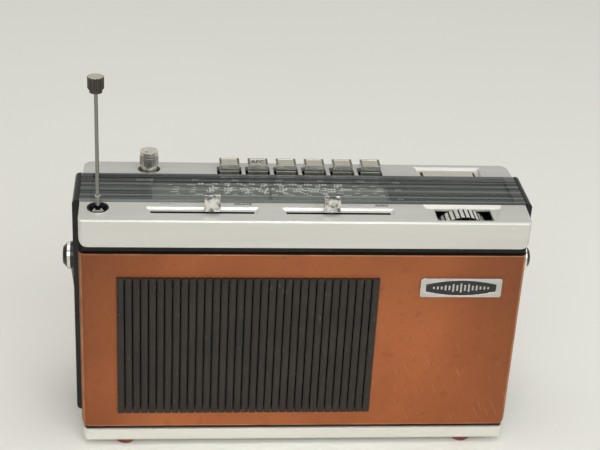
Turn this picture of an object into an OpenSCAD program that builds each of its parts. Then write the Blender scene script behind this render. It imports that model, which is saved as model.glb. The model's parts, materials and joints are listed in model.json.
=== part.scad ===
// Portable radio in leather covers: metal top decks, dial glass, piano keys, slide tone controls,
// telescopic aerial and a carrying handle that folds down behind the case.
// Millimetres, +Z up, feet on Z = 0, controls on top, loudspeaker towards -Y.

/* [Case] */
// Width across the leather covers
case_w = 270; // [262:1:290]
// Depth over the leather covers
case_d = 75; // [73:1:80]
// Height where the leather starts above the bottom tray
leather_z0 = 13.8; // [13:0.1:16]
// Height where the leather ends under the top decks
leather_z1 = 137.3; // [135:0.1:141]
// Thickness of the leather
leather_t = 2; // [1.5:0.1:2.4]
// Radius of the upright leather corners
corner_r = 4.5; // [3:0.1:6]

/* [Top] */
// Height of the lower edge of the metal lips
lip_z = 143.6; // [142:0.1:145]
// How far the metal lips stand out from the middle of the depth
lip_y = 40.5; // [39.5:0.1:42]
// Height of the dial glass
glass_z = 163.5; // [163:0.1:164.5]
// Half of the glass depth
glass_y = 18.7; // [17:0.1:18.7]
// Thickness of the glass
glass_t = 2; // [1.5:0.1:2.4]

/* [Loudspeaker] */
// Left edge of the grille
grille_x0 = -112.8; // [-116:0.1:-108]
// Right edge of the grille
grille_x1 = 46; // [44:0.1:47]
// Lower edge of the grille
grille_z0 = 24.7; // [24:0.1:28]
// Upper edge of the grille
grille_z1 = 121.7; // [118:0.1:124]
// Number of upright grille ribs
ribs = 33; // [29:1:35]
// Radius of the loudspeaker frame
speaker_r = 48; // [44:1:48]

/* [Controls] */
// Distance between the piano keys
key_pitch = 17.7; // [17:0.1:18]
// Width of a piano key
key_w = 12.4; // [11:0.1:13]
// How far a key stands above the deck
key_up = 6; // [4:0.1:6.5]
// Position of the volume knob along the case
volume_x = -94.1; // [-100:0.1:-85]
// Rest position of the bass slider
bass_x = -56.3; // [-85:0.1:-38]
// Rest position of the treble slider
treble_x = 14.7; // [-5:0.1:42]
// Diameter of the tuning wheel
wheel_d = 35; // [34:0.5:35.5]

/* [Aerial] */
// Height of the lower face of the aerial tip
tip_z = 235.8; // [215:0.1:260]
// Diameter of the aerial tip
tip_d = 9.5; // [8:0.1:10]

/* [Handle] */
// Distance from the pivots to the middle of the grip
handle_r = 75; // [74:0.5:80]
// Angle of the folded handle, back from straight down
handle_fold = 39; // [39:0.5:50]
// Height of the handle pivots
pivot_z = 116; // [112:0.5:118]

/* [Hidden] */
$fn = 96;
hw = case_w / 2;
hd = case_d / 2;
wall_y = hd - leather_t;
side_x = hw - leather_t;
slope = 1.45 / 19.83;
deck_in = 19;
wheel_x = 94.8;
wheel_y = -29.1;
wheel_z = 144.5;
drum_z = 116;
aerial_x = -123.3;
aerial_y = -27;
key_y = 26.05;
slot_y = -29.2;
speaker_x = (grille_x0 + grille_x1) / 2;
speaker_z = (grille_z0 + grille_z1) / 2;
grip_t = 9;
grip_w = 20;
grip_back = handle_r * sin(handle_fold) + 6 * cos(handle_fold) + 0.5 * sin(handle_fold) + 4;
mid_y = (lip_y - grip_back) / 2;

// Moves the case so that the origin is under the middle of the whole object, handle included.
module placed()
    translate([0, mid_y, 0])
        children();

// Extrudes a Y-Z outline along X.
module along_x(x0, x1)
    translate([x0, 0, 0])
        rotate([90, 0, 90])
            linear_extrude(x1 - x0)
                children();

// Extrudes an X-Z outline along Y.
module along_y(y0, y1)
    translate([0, y1, 0])
        rotate([90, 0, 0])
            linear_extrude(y1 - y0)
                children();

// Extrudes an X-Y outline along Z.
module along_z(z0, z1)
    translate([0, 0, z0])
        linear_extrude(z1 - z0)
            children();

module block(x0, x1, y0, y1, z0, z1)
    translate([x0, y0, z0])
        cube([x1 - x0, y1 - y0, z1 - z0]);

module rod_z(x, y, z0, z1, r)
    translate([x, y, z0])
        cylinder(h = z1 - z0, r = r);

module rod_y(x, z, y0, y1, r)
    along_y(y0, y1)
        translate([x, z])
            circle(r);

module rod_x(y, z, x0, x1, r)
    along_x(x0, x1)
        translate([y, z])
            circle(r);

module rounded(x0, y0, x1, y1, r) {
    translate([x0 + r, y0])
        square([x1 - x0 - 2 * r, y1 - y0]);
    translate([x0, y0 + r])
        square([x1 - x0, y1 - y0 - 2 * r]);
    for (x = [x0 + r, x1 - r], y = [y0 + r, y1 - r])
        translate([x, y])
            circle(r);
}

module both_sides() {
    children();
    mirror([1, 0, 0])
        children();
}

// Case

module cabinet()
    color("#1b1b1c")
        placed()
            difference() {
                union() {
                    difference() {
                        block(-side_x, side_x, -wall_y, 32.5, 11.9, 142.5);
                        block(3 - side_x, side_x - 3, 3 - wall_y, 33, 14.9, 143);
                    }
                    difference() {
                        block(-131.9, 131.9, -wall_y, 36.8, 142.5, 158);
                        block(-130, 130, 3 - wall_y, 34.3, 142, 159);
                    }
                    for (x = [-124.5, 124.5], z = [26, 132])
                        rod_y(x, z, 12.5, 32.5, 4.5);
                    for (x = [-126.6, 126.6], z = [26, 132])
                        block(x - 3.5, x + 3.5, 12.5, 32.5, z - 4, z + 4);
                    for (x = [-105, -35, 38])
                        block(x - 4, x + 4, 21, 28.6, 14, 22);
                    both_sides()
                        rod_x(0, pivot_z, 118, side_x - 1, 7);
                }
                along_y(-40, -20)
                    square_window();
                block(wheel_x - 19.3, wheel_x + 19.3, -35, -30, 125, 159);
                for (x = [-124.5, 124.5], z = [26, 132])
                    rod_y(x, z, 14, 34, 1.6);
                for (x = [-105, -35, 38])
                    block(x - 5, x + 5, 24, 25.6, 18, 23);
                both_sides()
                    rod_x(0, pivot_z, 124, 140, 3);
            }

module square_window()
    translate([grille_x0 + 0.8, grille_z0 + 1.4])
        square([grille_x1 - grille_x0 - 1.6, grille_z1 - grille_z0 - 2.2]);

// One U-shaped leather cover: a flat face with two short returns round the upright corners.
module cover(sign)
    intersection() {
        along_z(leather_z0, leather_z1)
            difference() {
                rounded(-hw, -hd, hw, hd, corner_r);
                translate([-side_x, -wall_y])
                    square([2 * side_x, 2 * wall_y]);
                translate([-200, sign > 0 ? -100 : -glass_y - 0.2])
                    square([400, 100 + glass_y + 0.2]);
            }
        along_y(-60, 60)
            union() {
                rounded(-hw, leather_z0, hw, leather_z1, 4);
                translate([-hw, leather_z1 - 20])
                    square([case_w, 20]);
            }
    }

module front_leather()
    color("#8a4f2f")
        placed()
            difference() {
                cover(-1);
                along_y(-60, -20)
                    square_window();
            }

module rear_cover()
    color("#1b1b1c")
        placed()
            difference() {
                block(-side_x, side_x, 32.5, wall_y, 11.9, 142.3);
                for (x = [-124.5, 124.5], z = [26, 132])
                    rod_y(x, z, 32, 36, 1.7);
            }

module rear_leather()
    color("#8a4f2f")
        placed()
            difference() {
                cover(1);
                for (x = [-124.5, 124.5], z = [26, 132])
                    rod_y(x, z, 35, 38, 4.6);
            }

module rear_screws()
    color("#b9b6ad")
        placed()
            for (x = [-124.5, 124.5], z = [26, 132])
                difference() {
                    union() {
                        rod_y(x, z, 18, wall_y, 1.6);
                        rod_y(x, z, wall_y, hd + 0.1, 4.2);
                    }
                    block(x - 5, x + 5, hd - 0.9, hd + 1, z - 0.6, z + 0.6);
                }

// Metal tray under the case, with a rounded lower edge all round.
module bottom_tray()
    color("#c9c6bd")
        placed()
            difference() {
                intersection() {
                    along_x(-134.5, 134.5)
                        rounded(-39, 2.9, 39, 20, 3);
                    along_y(-60, 60)
                        rounded(-134.5, 2.9, 134.5, 20, 5.5);
                    along_z(2.9, 11.9)
                        rounded(-134.5, -39, 134.5, 39, 5);
                }
                block(-132.5, 132.5, -37, 37, 4.9, 12);
            }

module feet()
    color("#7a3a28")
        placed()
            for (x = [-108, 108], y = [-31, 31])
                difference() {
                    union() {
                        rod_z(x, y, 0.6, 2.9, 6.4);
                        translate([x, y, 0])
                            cylinder(h = 0.6, r1 = 5.8, r2 = 6.4);
                    }
                    rod_z(x, y, -1, 1.6, 2);
                }

// Loudspeaker

// Upright ribs that stand on the leather, on a base plate with a slot between each pair.
module speaker_grille()
    color("#38342f")
        placed() {
            pitch = (grille_x1 - grille_x0) / ribs;
            difference() {
                along_y(-37.6, -33)
                    rounded(grille_x0 + 0.9, grille_z0 + 1.5, grille_x1 - 0.9, grille_z1 - 0.9, 1);
                for (i = [1:ribs - 1])
                    block(grille_x0 + i * pitch - 0.45, grille_x0 + i * pitch + 0.45,
                          -40, -30, grille_z0 + 4, grille_z1 - 3);
            }
            along_z(grille_z0, grille_z1)
                for (i = [0:ribs - 1])
                    translate([grille_x0 + (i + 0.5) * pitch, 0])
                        polygon([[-2.1, -37.6], [-2.1, -38.6], [-1.6, -39.15], [-0.5, -39.3],
                                 [0.5, -39.3], [1.6, -39.15], [2.1, -38.6], [2.1, -37.6]]);
        }

module grille_cloth()
    color("#16150f")
        placed()
            block(grille_x0 + 2, grille_x1 - 2, -32.9, -32.5, grille_z0 + 2, grille_z1 - 2);

module speaker_baffle()
    color("#5b4a35")
        placed()
            difference() {
                block(grille_x0 - 5, grille_x1 + 5, -32.5, -28.5, 20, 125);
                rod_y(speaker_x, speaker_z, -33, -28, speaker_r - 4);
            }

module ring_y(y0, y1, r_out, r_in)
    difference() {
        rod_y(speaker_x, speaker_z, y0, y1, r_out);
        rod_y(speaker_x, speaker_z, y0 - 1, y1 + 1, r_in);
    }

// Pressed steel frame: flange, a tapered web with four windows, and a seat for the magnet.
module speaker_basket()
    color("#8d9092")
        placed()
            difference() {
                union() {
                    ring_y(-28.5, -27.1, speaker_r, speaker_r - 5);
                    translate([speaker_x, -27.1, speaker_z])
                        rotate([-90, 0, 0])
                            difference() {
                                cylinder(h = 19, r1 = speaker_r - 3.5, r2 = 23);
                                translate([0, 0, -0.2])
                                    cylinder(h = 17.7, r1 = speaker_r - 4.8, r2 = 22.3);
                            }
                }
                for (a = [0, 90])
                    translate([speaker_x, -16.5, speaker_z])
                        rotate([0, a, 0])
                            cube([100, 9, 26], center = true);
                rod_y(speaker_x, speaker_z, -12, 0, 9);
            }

module speaker_cone()
    color("#2b2926")
        placed()
            translate([speaker_x, -27.4, speaker_z])
                rotate([-90, 0, 0])
                    difference() {
                        cylinder(h = 16, r1 = speaker_r - 5.6, r2 = 12);
                        translate([0, 0, -0.2])
                            cylinder(h = 15, r1 = speaker_r - 6.6, r2 = 11.4);
                    }

module speaker_magnet()
    color("#4a4c4f")
        placed() {
            rod_y(speaker_x, speaker_z, -8.1, -6, 25);
            rod_y(speaker_x, speaker_z, -6, 4, 27);
            rod_y(speaker_x, speaker_z, 4, 6.5, 24);
        }

module badge_frame()
    color("#cfccc4")
        placed()
            difference() {
                along_y(-39, -hd)
                    rounded(70.8, 109.1, 121.1, 122.1, 1.5);
                along_y(-40, -38.1)
                    badge_outline(0);
            }

// Barrel-shaped field in the middle of the badge.
module badge_outline(gap)
    translate([95.95, 115.6])
        polygon([for (x = [-1, -0.7, -0.35, 0, 0.35, 0.7, 1]) [x * (21.65 - gap), 5.2 - gap - 2.8 * x * x],
                 for (x = [1, 0.7, 0.35, 0, -0.35, -0.7, -1]) [x * (21.65 - gap), gap - 5.2 + 2.8 * x * x]]);

module badge_plate()
    color("#161616")
        placed()
            along_y(-38.7, -38.1)
                badge_outline(0.1);

// Sides and handle

module side_rail()
    difference() {
        intersection() {
            along_x(side_x, 139)
                translate([-glass_y, leather_z0])
                    square([2 * glass_y, glass_z - leather_z0]);
            along_y(-60, 60)
                rounded(100, leather_z0, 139, glass_z, 3);
        }
        block(100, 135, -60, 60, 156, 200);
        rod_x(0, pivot_z, 120, 150, 3);
    }

module side_rails()
    color("#141415")
        placed()
            both_sides()
                side_rail();

module pivot_screws()
    color("#8f9194")
        placed()
            both_sides()
                rod_x(0, pivot_z, 124, 143.7, 3);

// Knurled rings that hold the handle on its pivots.
module pivot_rings()
    color("#c8c8c6")
        placed()
            both_sides()
                difference() {
                    rod_x(0, pivot_z, 141.7, 143.7, 8.65);
                    rod_x(0, pivot_z, 141, 144, 3);
                    for (a = [0:6:359])
                        translate([141, 8.9 * cos(a), pivot_z + 8.9 * sin(a)])
                            rotate([a, 0, 0])
                                translate([0, -0.45, -0.2])
                                    cube([3, 1, 0.4]);
                }

module pivot_caps()
    color("#121212")
        placed()
            both_sides()
                translate([143.7, 0, pivot_z])
                    rotate([0, 90, 0])
                        cylinder(h = 2.7, r1 = 8, r2 = 5.2);

// The handle is drawn hanging straight down from its pivots and then folded back.
module folded()
    translate([0, 0, pivot_z])
        rotate([handle_fold, 0, 0])
            children();

module bow_outline() {
    w = 141.45;
    difference() {
        rounded(-w, -handle_r - 1.1, w, 60, 12);
        rounded(2.2 - w, -handle_r + 1.1, w - 2.2, 60, 9.8);
    }
}

module handle_bow()
    color("#1a1a1b")
        placed()
            folded()
                difference() {
                    union() {
                        intersection() {
                            along_y(-8, 8)
                                bow_outline();
                            block(-150, 150, -9, 9, -100, 0);
                        }
                        both_sides()
                            rod_x(0, 0, 139.25, 141.45, 8.65);
                    }
                    both_sides()
                        rod_x(0, 0, 130, 150, 3.05);
                }

module handle_grip()
    color("#1d1c1b")
        placed()
            folded()
                difference() {
                    along_x(-92, 92)
                        rounded(-grip_w / 2, -handle_r - grip_t / 2, grip_w / 2, -handle_r + grip_t / 2, 4);
                    block(-93, 93, -8, 8, -handle_r - 1.1, -handle_r + 1.1);
                }

// Top decks

// Points of a quarter arc in the Y-Z plane.
function arc(y, z, r, a0, a1) = [
    for (i = [0:6])
        let (a = a0 + (a1 - a0) * i / 6)
            [y + r * cos(a), z + r * sin(a)]
];

// Front deck outline: lip, rounded crease and a top that rises to the glass.
function deck_shape(out, top, r, z0) = concat(
    [[-out, z0]],
    arc(-out + r, top - r, r, 180, 94),
    [[-deck_in, top + slope * (out - deck_in - r)], [-deck_in, z0]]);

module deck_shell(out, top, half, corner)
    difference() {
        intersection() {
            along_x(-half, half)
                polygon(deck_shape(out, top, 1.8, lip_z));
            along_z(140, 170)
                rounded(-half, -out, half, out, corner);
            along_y(-60, 60)
                rounded(-half, lip_z, half, lip_z + 40, 5.5);
        }
        along_x(1.9 - half, half - 1.9)
            polygon(deck_shape(out - 2.2, top - 2.6, 0.6, lip_z - 1));
        block(-half + 1.9, half - 1.9, -deck_in - 1, -deck_in + 1, lip_z - 1, top - 1.5);
    }

// Shallow groove with sloping sides that a slider's slot lies in.
module slot_groove(x0, x1)
    intersection() {
        along_x(x0 - 2, x1 + 2)
            polygon([[-32.6, 163], [-31, 161], [-25.6, 161], [-23, 163]]);
        along_y(-50, -10)
            polygon([[x0 - 1, 163], [x0 + 1.5, 160.6], [x1 - 1.5, 160.6], [x1 + 1, 163]]);
    }

module top_deck_front()
    color("#bdbab0")
        placed()
            difference() {
                deck_shell(lip_y, 161.05, 134.4, 3);
                slot_groove(-95.2, -28.8);
                slot_groove(-14.5, 52.6);
                block(-92.6, -31.3, slot_y - 1.25, slot_y + 1.25, 150, 170);
                block(-12.3, 50.2, slot_y - 1.25, slot_y + 1.25, 150, 170);
                rod_z(aerial_x, aerial_y, 150, 170, 5.9);
                block(wheel_x - 17.1, wheel_x + 17.1, -36.6, -22.3, 150, 170);
                intersection() {
                    along_x(60, 130)
                        polygon([[-38.6, 160.8], [-21.8, 160.8], [-19.2, 162.45],
                                 [-19.2, 170], [-38.6, 170]]);
                    along_z(150, 175)
                        polygon([[77, -38.6], [113, -38.6], [120, -18], [70.5, -18]]);
                }
            }

module top_deck_rear()
    color("#bdbab0")
        placed()
            difference() {
                mirror([0, 1, 0])
                    deck_shell(lip_y, 161.4, 134.4, 8);
                for (i = [0:5])
                    block((i - 2.5) * key_pitch - 7.65, (i - 2.5) * key_pitch + 7.65, 19.7, 32.6, 150, 170);
                rod_z(volume_x, 27.5, 150, 170, 7);
                block(77, 112, 19.7, 31.2, 150, 170);
                intersection() {
                    along_x(60, 130)
                        polygon([[18.6, 170], [18.6, 161.13], [33.8, 160.02], [35.8, 162.4], [35.8, 170]]);
                    along_z(150, 175)
                        polygon([[74.5, 18], [114.5, 18], [115.5, 33.8], [117.5, 36], [72, 36], [74.5, 33.8]]);
                }
            }

// Dial

module dial_glass()
    color([0.33, 0.34, 0.33, 0.6])
        placed()
            block(-134.8, 134.8, -glass_y, glass_y, glass_z - glass_t, glass_z);

module dial_tray()
    color("#1d1e1e")
        placed()
            difference() {
                block(-130, 130, -18.5, 18.5, 156.2, glass_z - glass_t);
                block(-128.8, 128.8, -17.3, 17.3, 157.4, 165);
            }

module dial_scale()
    color("#7f827d")
        placed()
            block(-92, 54, -16.5, 16.5, 157.4, 158.2);

module dial_pointer()
    color("#cfcabb")
        placed() {
            block(-20.6, -19.4, -14, 14, 159.2, 160.8);
            block(-23, -17, -16.6, -14, 158.6, 160.8);
        }

module dial_lamp()
    color("#d8c27a")
        placed() {
            rod_x(0, 159.5, -110, -104, 1.7);
            rod_x(0, 159.5, -104, -98.5, 1.5);
        }

// Works under the decks

module chassis_plate()
    color("#8c8e8b")
        placed()
            difference() {
                block(-130, 130, -32.5, 34.1, 146, 148);
                rod_z(aerial_x, aerial_y, 140, 150, 3.8);
                block(wheel_x - 20.8, wheel_x + 20.8, -40, -12.5, 140, 150);
                block(-51, 51, 22.5, 29.5, 140, 150);
                block(90, 99, 22.5, 29.5, 140, 150);
            }

module key_bank()
    color("#3b3f3a")
        placed()
            difference() {
                block(-54, 54, 20.6, 31.6, 148, 153.4);
                for (i = [0:5])
                    block((i - 2.5) * key_pitch - 2.1, (i - 2.5) * key_pitch + 2.1, 24.45, 27.65, 147, 154);
            }

// Piano key with a framed top and a stem that runs in the key bank.
module key(i) {
    x = (i - 3.5) * key_pitch;
    top = 162.3 + key_up;
    color("#d6d4cd")
        placed() {
            difference() {
                block(x - key_w / 2, x + key_w / 2, 21.8, 31.7, 157.5, top);
                block(x - key_w / 2 + 1.3, x + key_w / 2 - 1.3, 22.6, 30.9, top - 0.3, top + 1);
            }
            block(x - 2, x + 2, 24.55, 27.55, 150, 157.5);
        }
}

module key_1()
    key(1);

module key_2()
    key(2);

module key_3()
    key(3);

module key_4()
    key(4);

module key_5()
    key(5);

module key_6()
    key(6);

module light_key()
    color("#d6d4cd")
        placed() {
            block(78.5, 110.5, 21.8, 30.2, 157, 161.4);
            block(92.5, 96.5, 24.55, 27.55, 150, 157);
        }

module light_switch()
    color("#3b3f3a")
        placed()
            difference() {
                block(84, 105, 20.6, 31.6, 148, 153.4);
                block(92.4, 96.6, 24.45, 27.65, 147, 154);
            }

module tone_control(x0, x1)
    difference() {
        block(x0 - 3, x1 + 3, -31.9, -26.1, 148, 154);
        block(x0, x1, slot_y - 1.35, slot_y + 1.35, 150, 155);
    }

module tone_controls()
    color("#47443c")
        placed() {
            tone_control(-92.6, -31.3);
            tone_control(-12.3, 50.2);
        }

// Slider knob: a chrome block, waisted above its foot, on a flat stem.
module slider(x)
    color("#dad8d2")
        placed() {
            along_x(x - 4.75, x + 4.75)
                polygon([[slot_y - 3.2, 162.3], [slot_y + 3.2, 162.3], [slot_y + 2.8, 170.6],
                         [slot_y + 2.2, 171.2], [slot_y - 2.2, 171.2], [slot_y - 2.8, 170.6]]);
            block(x - 3, x + 3, slot_y - 0.9, slot_y + 0.9, 151, 162.3);
        }

module bass_slider()
    slider(bass_x);

module treble_slider()
    slider(treble_x);

module volume_control()
    color("#6d6b60")
        placed()
            difference() {
                rod_z(volume_x, 27.5, 148, 154, 6.5);
                rod_z(volume_x, 27.5, 147, 155, 3.05);
            }

module volume_knob()
    color("#cfcdc6")
        placed() {
            rod_z(volume_x, 27.5, 148.4, 155.5, 3);
            rod_z(volume_x, 27.5, 155.5, 166, 5);
            rod_z(volume_x, 27.5, 171.3, 171.9, 4.9);
            rod_z(volume_x, 27.5, 171.9, 174.8, 5.4);
            difference() {
                rod_z(volume_x, 27.5, 166, 171.3, 5.8);
                for (a = [0:12:359])
                    translate([volume_x, 27.5, 165])
                        rotate([0, 0, a])
                            translate([5.5, -0.22, 0])
                                cube([1, 0.44, 8]);
            }
        }

module wheel_bracket()
    color("#8c8e8b")
        placed()
            difference() {
                union() {
                    block(70, 119.6, -21.8, -19.8, 148, 153);
                    block(wheel_x - 7, wheel_x + 7, -21.8, -19.8, 139, 148);
                }
                rod_y(wheel_x, wheel_z, -23, -18, 2.05);
            }

// Ribbed thumb wheel with its shaft and cord pulley.
module tuning_wheel()
    color("#c6c5c0")
        placed() {
            difference() {
                rod_y(wheel_x, wheel_z, -34.6, -23.1, wheel_d / 2);
                for (a = [0:10:359])
                    translate([wheel_x, -29.1, wheel_z])
                        rotate([0, a, 0])
                            translate([wheel_d / 2, 0, 0])
                                cube([1.8, 20, 0.9], center = true);
                rod_y(wheel_x, wheel_z, -35, -33.8, wheel_d / 2 - 3);
            }
            rod_y(wheel_x, wheel_z, -23.1, -17.5, 2);
            rod_y(wheel_x, wheel_z, -17.5, -13.5, 4.2);
        }

module tuning_drum()
    color("#cfc9b8")
        placed() {
            rod_y(wheel_x, drum_z, -17.5, -13.5, 22);
            rod_y(wheel_x, drum_z, -13.5, -6, 3);
        }

module tuning_capacitor()
    color("#d3d0c4")
        placed() {
            difference() {
                block(wheel_x - 14, wheel_x + 14, -12, 8, drum_z - 14, drum_z + 14);
                rod_y(wheel_x, drum_z, -13, -5, 3.05);
            }
            block(wheel_x - 10, wheel_x + 10, -9.5, 8, drum_z + 14, 146);
        }

// Telescopic aerial

module tube(z0, z1, r_out, r_in)
    difference() {
        rod_z(aerial_x, aerial_y, z0, z1, r_out);
        rod_z(aerial_x, aerial_y, z0 - 1, z1 + 1, r_in);
    }

module antenna_bezel()
    color("#cbc9c2")
        placed()
            translate([aerial_x, aerial_y, 161.9])
                rotate([atan(slope), 0, 0])
                    difference() {
                        union() {
                            translate([0, 0, 0.05])
                                cylinder(h = 0.9, r = 6.5);
                            translate([0, 0, -2.6])
                                cylinder(h = 2.65, r = 5.6);
                        }
                        translate([0, 0, -1.6])
                            cylinder(h = 3, r1 = 4.2, r2 = 5.6);
                        translate([0, 0, -4])
                            cylinder(h = 5, r = 3.7);
                    }

module antenna_sleeve()
    color("#b5b4ae")
        placed() {
            tube(18, 158, 3.8, 3.4);
            rod_z(aerial_x, aerial_y, 14.9, 18, 5.4);
        }

module antenna_section_1()
    color("#c4c3bd")
        placed()
            tube(29, 160.4, 3.35, 2.85);

module antenna_section_2()
    color("#c4c3bd")
        placed()
            tube(29.6, 161, 2.8, 2.3);

module antenna_section_3()
    color("#c4c3bd")
        placed()
            tube(30.2, 161.6, 2.25, 1.75);

module antenna_section_4()
    color("#c4c3bd")
        placed()
            tube(39.5, 170.7, 1.7, 1.15);

module antenna_rod()
    color("#aeada8")
        placed() {
            rod_z(aerial_x, aerial_y, 104, tip_z, 1.1);
            difference() {
                union() {
                    rod_z(aerial_x, aerial_y, tip_z, tip_z + 1.8, tip_d / 2 - 1);
                    translate([aerial_x, aerial_y, tip_z + 1.8])
                        cylinder(h = 0.6, r1 = tip_d / 2 - 0.7, r2 = tip_d / 2);
                    rod_z(aerial_x, aerial_y, tip_z + 2.4, tip_z + 9.4, tip_d / 2);
                }
                for (a = [15:30:359])
                    translate([aerial_x, aerial_y, tip_z + 1.7])
                        rotate([0, 0, a])
                            translate([tip_d / 2 + 0.35, 0, 0])
                                cylinder(h = 9, r = 0.95);
            }
        }

// Receiver

module ferrite_rod()
    color("#3a3a3c")
        placed()
            rod_x(8, 136, -100, 42, 5);

module aerial_coils()
    color("#b98f4e")
        placed()
            for (x = [-80, 12])
                difference() {
                    union() {
                        rod_x(8, 136, x - 12, x + 12, 6.2);
                        block(x - 16, x - 12, 2, 14, 129.5, 146);
                    }
                    rod_x(8, 136, x - 20, x + 20, 5.02);
                }

module circuit_board()
    color("#7d6a34")
        placed()
            block(-116, 43, 24, 25.6, 18, 128);

module board_parts()
    color("#b8b6ad")
        placed() {
            for (x = [-100, -78, 14, 32])
                block(x - 5, x + 5, 12, 24, 100, 110);
            for (x = [-105, -88, 25], z = [36, 62])
                rod_y(x, z, 12, 24, 5);
        }

module battery_holder()
    color("#26282a")
        placed()
            difference() {
                block(46, 116.5, -14, 31, 14.9, 80.5);
                block(47.5, 115, -12.5, 32, 16.4, 79);
            }

// Two flat batteries with their spring strips.
module batteries()
    color("#b7a24a")
        placed()
            for (y = [-12.3, 9.4]) {
                block(47.8, 114.7, y, y + 21.4, 16.6, 76.5);
                block(60, 66, y + 8, y + 8.6, 76.5, 78.8);
                block(90, 104, y + 8, y + 8.6, 76.5, 78.4);
            }

cabinet();
front_leather();
rear_cover();
rear_leather();
rear_screws();
speaker_grille();
grille_cloth();
speaker_baffle();
speaker_basket();
speaker_cone();
speaker_magnet();
badge_frame();
badge_plate();
bottom_tray();
feet();
side_rails();
pivot_screws();
pivot_rings();
pivot_caps();
handle_bow();
handle_grip();
top_deck_front();
top_deck_rear();
dial_glass();
dial_tray();
dial_scale();
dial_pointer();
dial_lamp();
chassis_plate();
key_bank();
key_1();
key_2();
key_3();
key_4();
key_5();
key_6();
light_key();
light_switch();
tone_controls();
bass_slider();
treble_slider();
volume_control();
volume_knob();
wheel_bracket();
tuning_wheel();
tuning_drum();
tuning_capacitor();
antenna_bezel();
antenna_sleeve();
antenna_section_1();
antenna_section_2();
antenna_section_3();
antenna_section_4();
antenna_rod();
ferrite_rod();
aerial_coils();
circuit_board();
board_parts();
battery_holder();
batteries();
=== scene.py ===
# %% [markdown]
# # A portable radio in leather covers
#
# The radio is a black plastic case with a leather cover wrapped round its front and another round
# its back. A ribbed loudspeaker grille stands in the front cover, satin metal decks carry the
# controls, and a strip of smoked glass runs between the decks over the tuning scale. The solid
# model already holds every part at its true size, so this lesson loads it, rounds the edges that
# a hand would feel, adds the small things that catch the light and gives every part its finish.

# %% Load the solid model
import json
import math

import bmesh
import bpy
from mathutils import Matrix, Vector


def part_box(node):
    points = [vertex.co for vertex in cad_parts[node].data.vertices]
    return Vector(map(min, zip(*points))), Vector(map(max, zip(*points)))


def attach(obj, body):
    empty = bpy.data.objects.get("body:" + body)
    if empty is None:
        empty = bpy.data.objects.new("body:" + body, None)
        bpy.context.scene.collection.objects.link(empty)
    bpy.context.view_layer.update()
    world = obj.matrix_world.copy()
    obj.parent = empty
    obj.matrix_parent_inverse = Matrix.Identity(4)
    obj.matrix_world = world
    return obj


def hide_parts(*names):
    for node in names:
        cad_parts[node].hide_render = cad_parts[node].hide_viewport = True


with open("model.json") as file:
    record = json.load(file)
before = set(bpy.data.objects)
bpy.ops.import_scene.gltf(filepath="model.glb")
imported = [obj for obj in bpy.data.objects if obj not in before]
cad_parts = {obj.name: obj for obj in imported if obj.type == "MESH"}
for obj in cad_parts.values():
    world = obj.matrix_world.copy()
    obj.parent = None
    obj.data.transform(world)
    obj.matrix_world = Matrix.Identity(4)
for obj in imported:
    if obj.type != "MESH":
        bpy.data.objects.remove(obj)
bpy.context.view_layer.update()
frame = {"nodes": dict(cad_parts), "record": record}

# %% [markdown]
# ## Measuring from the case
#
# A maker of this radio would measure from the middle of the case, but the model's origin lies
# under the middle of everything, folded handle included. The two metal lips stand out equally far
# in front and behind, so halfway between them is the middle of the case. Sizes below are in
# millimetres from that middle plane, and one small function turns them into Blender's metres.

# %% A measuring function
MM = 0.001
middle = (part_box("top_deck_front")[0].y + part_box("top_deck_rear")[1].y) / 2


def at(x, y, z):
    """A place on the case in millimetres, as a point in metres."""
    return Vector((x * MM, y * MM + middle, z * MM))


BODY_OF = {node: body for body, nodes in frame["record"]["behaviour"]["bodies"].items()
           for node in nodes}
print("middle of the case is at y =", round(middle, 5))

# %% [markdown]
# ## A workshop for finishes
#
# No real surface is one flat colour. Anodised metal is a little uneven, leather has pores, and
# moulded plastic has a fine grain that breaks up its shine. All of that can be painted on images
# or grown from noise. Noise is the better choice here, because it has no seams and its scale is
# set in real units. Each finish mixes two close colours by a soft noise, lets the roughness drift
# between two values, and raises a fine grain as bump.

# %% Helpers that build a finish
def paint(code):
    """A hex colour as the linear values that a shader works in."""
    parts = [int(code[i:i + 2], 16) / 255 for i in (0, 2, 4)]
    return [p / 12.92 if p < 0.04045 else ((p + 0.055) / 1.055) ** 2.4 for p in parts] + [1]


def add(tree, kind, inputs=None, **settings):
    """Adds a shader node, sets its options and fills or links its inputs."""
    made = tree.nodes.new("ShaderNode" + kind)
    for key, value in settings.items():
        setattr(made, key, value)
    for key, value in (inputs or {}).items():
        if isinstance(value, bpy.types.NodeSocket):
            tree.links.new(value, made.inputs[key])
        else:
            made.inputs[key].default_value = value
    return made


def blend_colours(tree, amount, first, second):
    """Mixes two colours, each a socket or a value, by an amount."""
    made = add(tree, "Mix", data_type="RGBA")
    for number, value in ((0, amount), (6, first), (7, second)):
        if isinstance(value, bpy.types.NodeSocket):
            tree.links.new(value, made.inputs[number])
        else:
            made.inputs[number].default_value = value
    return made.outputs[2]


def spread(tree, value, low, high, to_low=0.0, to_high=1.0):
    """Stretches a value from one range to another."""
    return add(tree, "MapRange", {"Value": value, "From Min": low, "From Max": high,
                                  "To Min": to_low, "To Max": to_high}).outputs[0]


def times(tree, first, second, operation="MULTIPLY"):
    """Multiplies two values, or joins them by another operation."""
    return add(tree, "Math", {0: first, 1: second}, operation=operation).outputs[0]


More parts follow.
